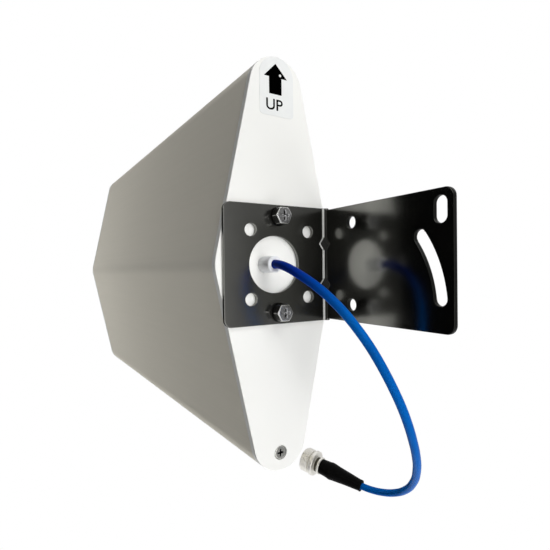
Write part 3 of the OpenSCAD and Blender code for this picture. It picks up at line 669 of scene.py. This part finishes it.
# %% Moulded gloss ABS
RIPPLE_MM = 4
CLOUD_MM = 45
moulded_abs, tree, place = new_finish("moulded gloss ABS")
clouds = add_node(tree, "TexNoise", Vector=place, Scale=per_metre(CLOUD_MM), Detail=3)
tone = add_node(tree, "Mix", data_type="RGBA", i0=clouds, i6=colour("#EEEEEA"), i7=colour("#F4F4F1"))
gloss = add_node(tree, "MapRange", Value=clouds, i3=0.26, i4=0.34)
ripple = add_node(tree, "TexNoise", Vector=place, Scale=per_metre(RIPPLE_MM), Detail=1)
bump = add_node(tree, "Bump", Height=ripple, Strength=0.08, Distance=0.03 * MM)
coat(tree, Base_Color=tone.outputs[2], Roughness=gloss, Normal=bump, IOR=ABS_IOR)
wear(moulded_abs, back_cap, front_cap)

# %% [markdown]
# The bracket is steel polished to a dark mirror: it shows what stands round it, dimmed to about a fifth.
# Polishing leaves a slight waviness, so reflections bend a little, and hairlines that only the roughness
# shows. Near the bend the steel is painted darker, as painted shade, and it brightens over a finger's
# width. The mast leg's free end is painted darker too, as a painted dark reflection. The leg on the cap has
# been handled with greasy fingers, so its reflections are softer than those of the mast leg.

# %% Mirror-polished steel
SMUDGE_MM = 16
BEND_SHADE_FULL_MM = 4
BEND_SHADE_END_MM = 36
BEND_SHADE_SHARE = 0.5
FAR_SHADE_FROM_MM = 38
FAR_SHADE_TO_MM = 58
FAR_SHADE_SHARE = 0.4
mirror_steel, tree, place = new_finish("mirror-polished steel")
smudges = add_node(tree, "TexNoise", Vector=place, Scale=per_metre(SMUDGE_MM), Detail=4)
tone = add_node(tree, "Mix", data_type="RGBA", i0=smudges, i6=colour("#7E7E7B"), i7=colour("#888883"))
apart = add_node(tree, "SeparateXYZ", Vector=place)
from_mast_leg = add_node(tree, "Math", operation="MULTIPLY", i0=apart.outputs["X"], i1=-1.0)
from_cap = add_node(tree, "Math", operation="SUBTRACT", i0=ANTENNA_TO_MAST_MM.y * MM, i1=apart.outputs["Y"])
from_bend = add_node(tree, "Math", operation="MAXIMUM", i0=from_mast_leg, i1=from_cap)
# Painted shade: the steel's tone is darkened near the bend.
bend_shade = add_node(tree, "MapRange", Value=from_bend, i1=BEND_SHADE_FULL_MM * MM,
                   i2=BEND_SHADE_END_MM * MM, i3=BEND_SHADE_SHARE, i4=1.0)
# Painted dark reflection: the tone is darkened towards the mast leg's free end.
far_end_shade = add_node(tree, "MapRange", Value=from_cap, i1=FAR_SHADE_FROM_MM * MM,
                  i2=FAR_SHADE_TO_MM * MM, i3=1.0, i4=FAR_SHADE_SHARE)
share = add_node(tree, "Math", operation="MULTIPLY", i0=bend_shade, i1=far_end_shade)
tone_with_painted_shade = add_node(tree, "VectorMath", operation="SCALE", i0=tone.outputs[2], Scale=share)
print("nodes for the steel's tone:", len(tree.nodes))

# %% [markdown]
# The same steel's roughness is a second step. Smudges and upright hairlines are multiplied, so a hairline
# shows most where the steel is smudged. Grease on the cap leg is added to them, and the waves are bump.

# %% Hairlines, grease and waves in the mirror
HAIRLINE_MM = 0.35
HAIRLINE_STRETCH = 0.03
GREASE_ROUGHNESS = 0.05
WAVE_MM = 9
upright = add_node(tree, "Mapping", Vector=place, Scale=(1, 1, HAIRLINE_STRETCH))
hairlines = add_node(tree, "TexNoise", Vector=upright, Scale=per_metre(HAIRLINE_MM), Detail=2)
mixed = add_node(tree, "Math", operation="MULTIPLY", i0=smudges, i1=hairlines)
polish = add_node(tree, "MapRange", Value=mixed, i1=0.1, i2=0.5, i3=0.12, i4=0.19)
grease = add_node(tree, "MapRange", Value=from_cap, i1=BEND_ZONE_MM / 2 * MM,
                  i2=BEND_ZONE_MM * MM, i3=GREASE_ROUGHNESS, i4=0)
softened = add_node(tree, "Math", operation="ADD", i0=polish, i1=grease)
waves = add_node(tree, "TexNoise", Vector=place, Scale=per_metre(WAVE_MM), Detail=0)
bump = add_node(tree, "Bump", Height=waves, Strength=0.1, Distance=0.05 * MM)
coat(tree, Base_Color=tone_with_painted_shade, Roughness=softened, Normal=bump, Metallic=1)
wear(mirror_steel, bracket)

# %% [markdown]
# Most of the other finishes share one recipe: a noise of a real size mixes two tones and, where the skin is
# uneven, sets the roughness and a slight relief too. Writing it out each time would hide what differs, so
# one function repeats it.

# %% Helper for mottled finishes


def mottled(name, size_mm, tones, detail=2, stretch=None, rough=None, relief=None, **sockets):
    """A finish whose tone, and where given its roughness and relief, follow one noise of this size."""
    material, tree, place = new_finish(name)
    if stretch:
        place = add_node(tree, "Mapping", Vector=place, Scale=stretch)
    noise = add_node(tree, "TexNoise", Vector=place, Scale=per_metre(size_mm), Detail=detail)
    dark, light = tones
    tone = add_node(tree, "Mix", data_type="RGBA", i0=noise, i6=colour(dark), i7=colour(light))
    if rough:
        smooth, coarse = rough
        sockets["Roughness"] = add_node(tree, "MapRange", Value=noise, i3=smooth, i4=coarse)
    if relief:
        strength, depth_mm = relief
        sockets["Normal"] = add_node(tree, "Bump", Height=noise, Strength=strength, Distance=depth_mm * MM)
    coat(tree, Base_Color=tone.outputs[2], **sockets)
    return material


# %% [markdown]
# Where the sheet was sheared it is bare rolled steel, dark and dull, with fine mottling. The washers are
# stamped from the same kind of sheet and never polished. The same near-black tone is painted shade on the
# pressed darts, inside the bend, on the bolts' flanks and in the recesses of the cap screws.

# %% Sheared steel and painted shade
SHEAR_MM = 0.4
dull_steel_and_painted_shade = mottled("sheared steel and painted shade", SHEAR_MM, ("#1E1E1D", "#2C2C2A"), Metallic=1, Roughness=0.4)
wear(dull_steel_and_painted_shade, flat_washers, spring_washers)
# Painted shade on the darts and inside the bend, with the sheared walls.
wear_on_faces(dull_steel_and_painted_shade, bracket, dull_and_shaded_faces)

# %% [markdown]
# Cap screws are bright zinc: a thin electroplated coat, silvery and dulled by weather,
# slightly uneven because the coat follows the rolled and headed steel under it.

# %% Bright zinc plate
SPANGLE_MM = 1.1
bright_zinc = mottled("bright zinc plate", SPANGLE_MM, ("#CFCFCA", "#F0F0EA"), detail=3,
                      rough=(0.12, 0.3), relief=(0.15, 0.02), Metallic=1)
wear(bright_zinc, *[pair for pair, _ in screws], nodes["strap_screws"])
# Painted shade: the recesses of the cap screws take the near-black steel.
for pair, recess in screws:
    wear_on_faces(dull_steel_and_painted_shade, pair, recess)

# %% [markdown]
# The bracket's bolts are stainless, as dark as the bracket, with the scuffs of a spanner and of tumbling:
# the skin is bumpy over half a millimetre, so a head sparkles in points and does not shine as one.

# %% Tumbled stainless steel
SCUFF_MM = 0.7
tumbled_steel = mottled("tumbled stainless steel", SCUFF_MM, ("#8A8A8D", "#F0F0F0"), detail=3,
                        rough=(0.1, 0.26), relief=(0.8, 0.15), Metallic=1)
wear(tumbled_steel, bolts)
# Painted shade: the bolts' flanks take the near-black steel.
wear_on_faces(dull_steel_and_painted_shade, bolts, shaded_flanks)

# %% [markdown]
# The rim of a bolt's head, the crease of the bend and the edges of its darts are painted pale, as painted
# highlights: the same steel made matt, so these show as thin pale lines from any side.

# %% Steel with painted highlights
HIGHLIGHT_MOTTLE_MM = 0.4
pale_steel_painted_highlights = mottled("stainless steel with painted highlights", HIGHLIGHT_MOTTLE_MM, ("#A2A29F", "#E2E2DE"),
                          Metallic=1, Roughness=0.5)
# Painted highlights on the bolts' rims and in the bend.
wear_on_faces(pale_steel_painted_highlights, bolts, highlight_rims)
wear_on_faces(pale_steel_painted_highlights, bracket, highlight_faces)

# %% [markdown]
# The jack and the ferrule are nickel plated, warmer and softer than zinc, with fine turning marks round
# them. The marks follow the plug's axis, so a Mapping node turns the pattern onto it. The narrow neck is
# painted darker, as painted shade, so the tone falls to a dull brown between the neck's two walls.

# %% Nickel plate on turned brass
TURNING_MM = 0.3
NECK_SHADE_FULL_SHARE, NECK_SHADE_END_SHARE = 0.3, 0.45
plug_frame = (plug_turn @ plug_tip).inverted().to_euler()
plug_foot = Vector(plug_place.inverted().translation)
nickel, tree, place = new_finish("nickel plate on turned brass")
about_axis = add_node(tree, "Mapping", Vector=place, Rotation=plug_frame, Location=plug_foot)
marks = add_node(tree, "TexWave", wave_type="BANDS", bands_direction="Z",
                 Vector=about_axis, Scale=per_metre(TURNING_MM) / math.tau, Distortion=1.5)
tone = add_node(tree, "Mix", data_type="RGBA", i0=marks.outputs["Fac"],
                i6=colour("#EAE8E2"), i7=colour("#F4F2EC"))
station = add_node(tree, "SeparateXYZ", Vector=about_axis)
neck_l_mm = FLANGE_S_MM - NECK_S_MM
mid_neck_mm = (NECK_S_MM + FLANGE_S_MM) / 2
from_neck = add_node(tree, "Math", operation="SUBTRACT", i0=station.outputs["Z"], i1=mid_neck_mm * MM)
off_neck = add_node(tree, "Math", operation="ABSOLUTE", i0=from_neck)
# Painted shade: the tone falls to a dull brown in the middle of the neck.
out_of_neck_shade = add_node(tree, "MapRange", Value=off_neck,
                  i1=neck_l_mm * NECK_SHADE_FULL_SHARE * MM, i2=neck_l_mm * NECK_SHADE_END_SHARE * MM)
neck_shaded_tone = add_node(tree, "Mix", data_type="RGBA", i0=out_of_neck_shade, i6=colour("#4A483F"), i7=tone.outputs[2])
turning = add_node(tree, "MapRange", Value=marks.outputs["Fac"], i3=0.42, i4=0.5)
coat(tree, Base_Color=neck_shaded_tone.outputs[2], Roughness=turning, Metallic=1)
wear(nickel, jack_body, crimp)

# %% [markdown]
# The contact is gilt brass. Thin gold over nickel is bright and warm, and paler where the coat is thinnest.

# %% Gold flash
THIN_PLACE_MM = 1.5
gold = mottled("gold flash", THIN_PLACE_MM, ("#E0B75A", "#EBCB7F"), Metallic=1, Roughness=0.2)
wear(gold, jack_contact)

# %% [markdown]
# The pigtail's jacket is blue fluoropolymer over a braid. It is smooth and deep in colour, and the braid
# under it shows only as a faint ripple. Near the sleeve the jacket is painted navy, as painted shade: a
# round gradient about the place where the cable leaves fades that shade out over half a hand.

# %% Blue cable jacket
BRAID_MM = 1.2
HANDLED_MM = 14
SLEEVE_SHADE_MM = 50
blue_jacket, tree, place = new_finish("blue fluoropolymer jacket")
handled = add_node(tree, "TexNoise", Vector=place, Scale=per_metre(HANDLED_MM), Detail=3)
tone = add_node(tree, "Mix", data_type="RGBA", i0=handled, i6=colour("#0352A2"), i7=colour("#0463BA"))
# Painted shade: navy near the sleeve, faded out with distance from the cable's exit.
about_exit = add_node(tree, "Mapping", Vector=place, Location=-route[0] * per_metre(SLEEVE_SHADE_MM),
                      Scale=(per_metre(SLEEVE_SHADE_MM),) * 3)
nearness = add_node(tree, "TexGradient", gradient_type="SPHERICAL", Vector=about_exit)
sleeve_shade = add_node(tree, "MapRange", Value=nearness.outputs["Fac"], i1=0.05, i2=0.65)
jacket = add_node(tree, "Mix", data_type="RGBA", i0=sleeve_shade, i6=tone.outputs[2], i7=colour("#022A8C"))
braid = add_node(tree, "TexVoronoi", Vector=place, Scale=per_metre(BRAID_MM))
bump = add_node(tree, "Bump", Height=braid, Strength=0.08, Distance=0.04 * MM)
coat(tree, Base_Color=jacket.outputs[2], Normal=bump, Roughness=0.3, IOR=1.4, Specular_IOR_Level=0.03)
wear(blue_jacket, cable, nodes["feed_coax"])

# %% [markdown]
# Heat-shrink is black polyolefin. Shrinking leaves a leathery skin with a low gloss and fine lengthwise
# creases, so the noise is turned onto the plug's axis and stretched along it.

# %% Black heat-shrink
CREASE_MM = 0.9
CREASE_STRETCH = 0.18
black_shrink, tree, place = new_finish("black heat-shrink")
about_axis = add_node(tree, "Mapping", Vector=place, Rotation=plug_frame)
stretched = add_node(tree, "Mapping", Vector=about_axis, Scale=(1, 1, CREASE_STRETCH))
creases = add_node(tree, "TexNoise", Vector=stretched, Scale=per_metre(CREASE_MM), Detail=3)
tone = add_node(tree, "Mix", data_type="RGBA", i0=creases, i6=colour("#030303"), i7=colour("#080808"))
dull = add_node(tree, "MapRange", Value=creases, i3=0.36, i4=0.56)
bump = add_node(tree, "Bump", Height=creases, Strength=0.35, Distance=0.08 * MM)
coat(tree, Base_Color=tone.outputs[2], Roughness=dull, Normal=bump, IOR=1.49, Specular_IOR_Level=0.04)
wear(black_shrink, boot)

# %% [markdown]
# Two white plastics are left: a dull and slightly waxy fluoropolymer, for the jack's insulator and the feed
# bush, and a soft natural nylon, for the cable sleeve and the boom spacers. Each has a trace of mottling.

# %% Waxy insulator and natural nylon
MOTTLE_MM = 2.5
waxy_white = mottled("waxy fluoropolymer", MOTTLE_MM, ("#EDEEEC", "#F6F7F5"), Roughness=0.5, IOR=1.38)
wear(waxy_white, jack_insulator, nodes["feed_bush"])
natural_nylon = mottled("natural nylon", MOTTLE_MM, ("#EDEFF2", "#F7F8FA"), detail=3, relief=(0.1, 0.03),
                        Roughness=0.38, IOR=1.53)
wear(natural_nylon, sleeve, nodes["boom_spacers"])

# %% [markdown]
# The label is a matt vinyl film, a shade greyer and cooler than the cap, and its print is solid black ink.
# The head of the upper cap screw lies under the arrow: there the ink has a small pale spot, a painted
# glint.

# %% Vinyl film and black ink
FILM_CLOUD_MM = 6
GLINT_AT_MM = Vector((2.1, LABEL_FACE_MM, 95.9)) + ANTENNA_TO_MAST_MM
GLINT_R_MM = 1.1
vinyl = mottled("vinyl label film", FILM_CLOUD_MM, ("#E5E7E6", "#EEEFEE"), detail=3, Roughness=0.32)
wear(vinyl, label_film)

ink, tree, place = new_finish("black label ink")
about_spot = add_node(tree, "Mapping", Vector=place, Location=-GLINT_AT_MM / GLINT_R_MM,
                      Scale=(per_metre(GLINT_R_MM),) * 3)
spot = add_node(tree, "TexGradient", gradient_type="SPHERICAL", Vector=about_spot)
speckle = add_node(tree, "TexNoise", Vector=place, Scale=per_metre(FILM_CLOUD_MM), Detail=4)
solid_ink = add_node(tree, "Mix", data_type="RGBA", i0=speckle, i6=colour("#000000"), i7=colour("#030303"))
# Painted glint: a pale spot in the ink over the hidden screw head.
glint_share = add_node(tree, "MapRange", Value=spot.outputs["Fac"], i1=0.25, i2=0.6)
tone = add_node(tree, "Mix", data_type="RGBA", i0=glint_share, i6=solid_ink.outputs[2], i7=colour("#E8E8E6"))
coat(tree, Base_Color=tone.outputs[2], Roughness=0.38, Specular_IOR_Level=0)
wear(ink, arrow, word)

# %% [markdown]
# The array inside is plain metal, and nobody sees it unless the housing is opened: square aluminium tube as
# it left the mill, drawn rod, a copper feed and brass inserts. Drawing marks run along each, so noise is
# stretched along the piece.

# %% Mill aluminium, drawn rod, copper and brass
DRAWN_MM = 0.8
DRAWN_STRETCH = 0.04
SMOOTHER, COARSER = 0.06, 0.08
INNER_METALS = [
    ("mill-finish aluminium", ("#B9BBBC", "#CBCCCD"), 0.36, (1, DRAWN_STRETCH, 1),
     ["left_boom", "right_boom", "shorting_strap"]),
    ("drawn aluminium rod", ("#C4C6C7", "#D5D6D6"), 0.3, (1, 1, DRAWN_STRETCH),
     ["left_elements", "right_elements"]),
    ("tinned copper wire", ("#C08462", "#D29C7C"), 0.3, (DRAWN_STRETCH, 1, 1), ["feed_wire"]),
    ("knurled brass", ("#B8964F", "#CDAE6B"), 0.28, (1, DRAWN_STRETCH, 1), ["threaded_inserts"]),
]
for name, tones, middle, squeeze, wearers in INNER_METALS:
    metal = mottled(name, DRAWN_MM, tones, stretch=squeeze, rough=(middle - SMOOTHER, middle + COARSER),
                    Metallic=1)
    wear(metal, *[nodes[wearer] for wearer in wearers])

# %% [markdown]
# The background is white to the camera, to reflections and to clear pieces, but it sends hardly any light
# onto matt surfaces, or the shaded side of the housing would wash out. Lamps do the lighting.

# %% World
AMBIENT = 0.005
WHITE = (1, 1, 1, 1)
world = bpy.data.worlds.new("white studio")
scene.world = world
tree = bare_tree(world)
rays = add_node(tree, "LightPath")
seen = add_node(tree, "Math", operation="MAXIMUM", i0=rays.outputs["Is Camera Ray"],
                i1=rays.outputs["Is Glossy Ray"])
shown = add_node(tree, "Math", operation="MAXIMUM", i0=seen, i1=rays.outputs["Is Transmission Ray"])
dim = add_node(tree, "Background", Color=WHITE, Strength=AMBIENT)
white = add_node(tree, "Background", Color=WHITE, Strength=1)
backdrop = add_node(tree, "MixShader", i0=shown, i1=dim, i2=white)
add_node(tree, "OutputWorld", Surface=backdrop)
print("world ambient", AMBIENT)

# %% [markdown]
# Four large soft lamps behind the antenna, two level, one high and one low, light the rear cap evenly, and
# a small one near the front, on the left, gives the long side its slow fade towards the cap. Two more,
# right above and right below, graze the flanks and leave the ridge between them a little darker. The last
# one lights the far side and the front, which this camera does not see. Mirrors show the bands instead.

# %% Lamps
AT_CAP = (-0.03, 0.1, 0)
AT_SIDE = (-0.05, 0.3, 0)
AT_FAR_SIDE = (-0.03, 0.2, 0)
LAMPS = [
    ("lamp_rear", (0.0, -2.2, 0.0), AT_CAP, 1.0, 20.4),
    ("lamp_rear_right", (0.4, -2.2, 0.0), AT_CAP, 1.0, 9.3),
    ("lamp_rear_high", (0.18, -1.6, 1.5), AT_CAP, 1.5, 18.8),
    ("lamp_rear_low", (0.45, -1.6, -1.4), AT_CAP, 1.5, 16.4),
    ("lamp_front_left", (-0.45, 0.5, 0.0), AT_SIDE, 0.3, 1.1),
    ("lamp_above", (0.05, 0.15, 1.8), AT_SIDE, 0.5, 10),
    ("lamp_below", (0.05, 0.15, -1.6), AT_SIDE, 0.5, 13),
    ("lamp_far_side", (1.3, 1.2, 0.3), AT_FAR_SIDE, 1.2, 14),
]
for name, stand, target, size, watts in LAMPS:
    lamp_data = bpy.data.lights.new(name, "AREA")
    lamp_data.shape = "DISK"
    lamp_data.size = size
    lamp_data.energy = watts
    lamp = bpy.data.objects.new(name, lamp_data)
    scene.collection.objects.link(lamp)
    lamp.location = stand
    lamp.rotation_euler = (Vector(target) - Vector(stand)).to_track_quat("-Z", "Y").to_euler()
    lamp.visible_glossy = False
    print(name, watts, "W")

# %% [markdown]
# A mirror shows the room. The bracket is dark because the studio round it is dark at eye level, so three
# wide bands stand round the antenna, one above the other, seen only by reflections, with their own
# brightness by bearing. They could be painted panels; a ring with a ramp by angle is one piece and easy to
# adjust. The lowest is as the middle one, but glows behind and to the left, where lower edges catch it.

# %% Brightness of the reflection bands
EYE_LEVELS = [
    (0, 0.8), (30, 0.8), (60, 0.1), (95, 0.06), (110, 0.05), (122, 0.01), (160, 0.01), (176, 0.1),
    (190, 0.12), (214, 0.12), (222, 0.22), (231, 0.22), (233, 0.1), (235, 0.12), (238, 0.5), (244, 2.4),
    (262, 2.4), (270, 0.6), (290, 0.55), (293.5, 0.44), (295, 0.1), (297, 0.1), (300, 0.3), (308, 0.34),
    (318, 0.1), (335, 0.8), (360, 0.8),
]
GLOW_FROM, GLOW_TO, GLOW = 180, 220, 1.5
LOW_LEVELS = [(bearing, GLOW if GLOW_FROM < bearing < GLOW_TO else level) for bearing, level in EYE_LEVELS]
HIGH_LEVELS = [
    (0, 1.2), (60, 0.9), (75, 0.1), (150, 0.05), (165, 2.2), (210, 2.2), (225, 0.2), (300, 0.1), (330, 0.5),
    (360, 1.2),
]
BANDS = [
    ("band_low", -1.1, -0.1, LOW_LEVELS), ("band_at_eye_level", -0.1, 0.35, EYE_LEVELS),
    ("band_high", 0.35, 1.1, HIGH_LEVELS),
]
print("bands:", [band_name for band_name, *_ in BANDS])

# %% [markdown]
# Each band is a circle whose edges are extruded upwards. Its paint works out the bearing of each point from
# the middle, looks its level up in a colour ramp, and glows by it. Matt surfaces and the camera miss it.

# %% Reflection bands
BAND_R = 1.2
RING_SEGMENTS = 96
FULL_TURN_DEG = 360
HALF_WAY = 0.5
for name, foot_z, top_z, levels in BANDS:
    band_shape = bmesh.new()
    bmesh.ops.create_circle(band_shape, cap_ends=False, radius=BAND_R, segments=RING_SEGMENTS)
    raised = bmesh.ops.extrude_edge_only(band_shape, edges=band_shape.edges[:])
    raised_verts = [v for v in raised["geom"] if isinstance(v, bmesh.types.BMVert)]
    bmesh.ops.translate(band_shape, verts=raised_verts, vec=(0, 0, top_z - foot_z))
    bmesh.ops.translate(band_shape, verts=band_shape.verts, vec=(0, 0, foot_z))
    band = as_object(band_shape, name)
    band.visible_camera = False
    band.visible_diffuse = False
    band.visible_transmission = False
    band.visible_shadow = False
    band_paint = bpy.data.materials.new(name)
    tree = bare_tree(band_paint)
    place = add_node(tree, "TexCoord").outputs["Object"]
    apart = add_node(tree, "SeparateXYZ", Vector=place)
    behind = add_node(tree, "Math", operation="MULTIPLY", i0=apart.outputs["X"], i1=-1.0)
    across = add_node(tree, "Math", operation="MULTIPLY", i0=apart.outputs["Y"], i1=-1.0)
    bearing = add_node(tree, "Math", operation="ARCTAN2", i0=across, i1=behind)
    share = add_node(tree, "MapRange", Value=bearing, i1=-math.pi, i2=math.pi)
    ramp = add_node(tree, "ValToRGB", Fac=share)
    stops = ramp.color_ramp.elements
    while len(stops) < len(levels):
        stops.new(HALF_WAY)
    for stop, (degrees, level) in zip(stops, levels):
        stop.position = degrees / FULL_TURN_DEG
        stop.color = (level, level, level, 1)
    glow = add_node(tree, "Emission", Color=ramp, Strength=1)
    add_node(tree, "OutputMaterial", Surface=glow)
    band.data.materials.append(band_paint)
    print(name, "from", foot_z, "to", top_z, "m,", len(levels), "levels")

# %% [markdown]
# The antenna hangs on its mast, so the floor lies far below it: a pale disc, white to the camera and to
# reflections, so that it meets the background without a line and the lower edges of the bracket catch it.

# %% Floor
FLOOR_R = 2.0
FLOOR_Z = -1.7
floor_shape = bmesh.new()
bmesh.ops.create_circle(floor_shape, cap_ends=True, radius=FLOOR_R, segments=RING_SEGMENTS)
bmesh.ops.translate(floor_shape, verts=floor_shape.verts, vec=(0, 0, FLOOR_Z))
floor = as_object(floor_shape, "floor")
floor_paint = bpy.data.materials.new("pale floor")
tree = bare_tree(floor_paint)
rays = add_node(tree, "LightPath")
seen = add_node(tree, "Math", operation="MAXIMUM", i0=rays.outputs["Is Camera Ray"],
                i1=rays.outputs["Is Glossy Ray"])
matt = add_node(tree, "BsdfDiffuse", Color=colour("#F2F2F0"))
lit = add_node(tree, "Emission", Color=WHITE, Strength=1)
pale = add_node(tree, "MixShader", i0=seen, i1=matt, i2=lit)
add_node(tree, "OutputMaterial", Surface=pale)
floor.data.materials.append(floor_paint)
print("floor at", FLOOR_Z, "m")
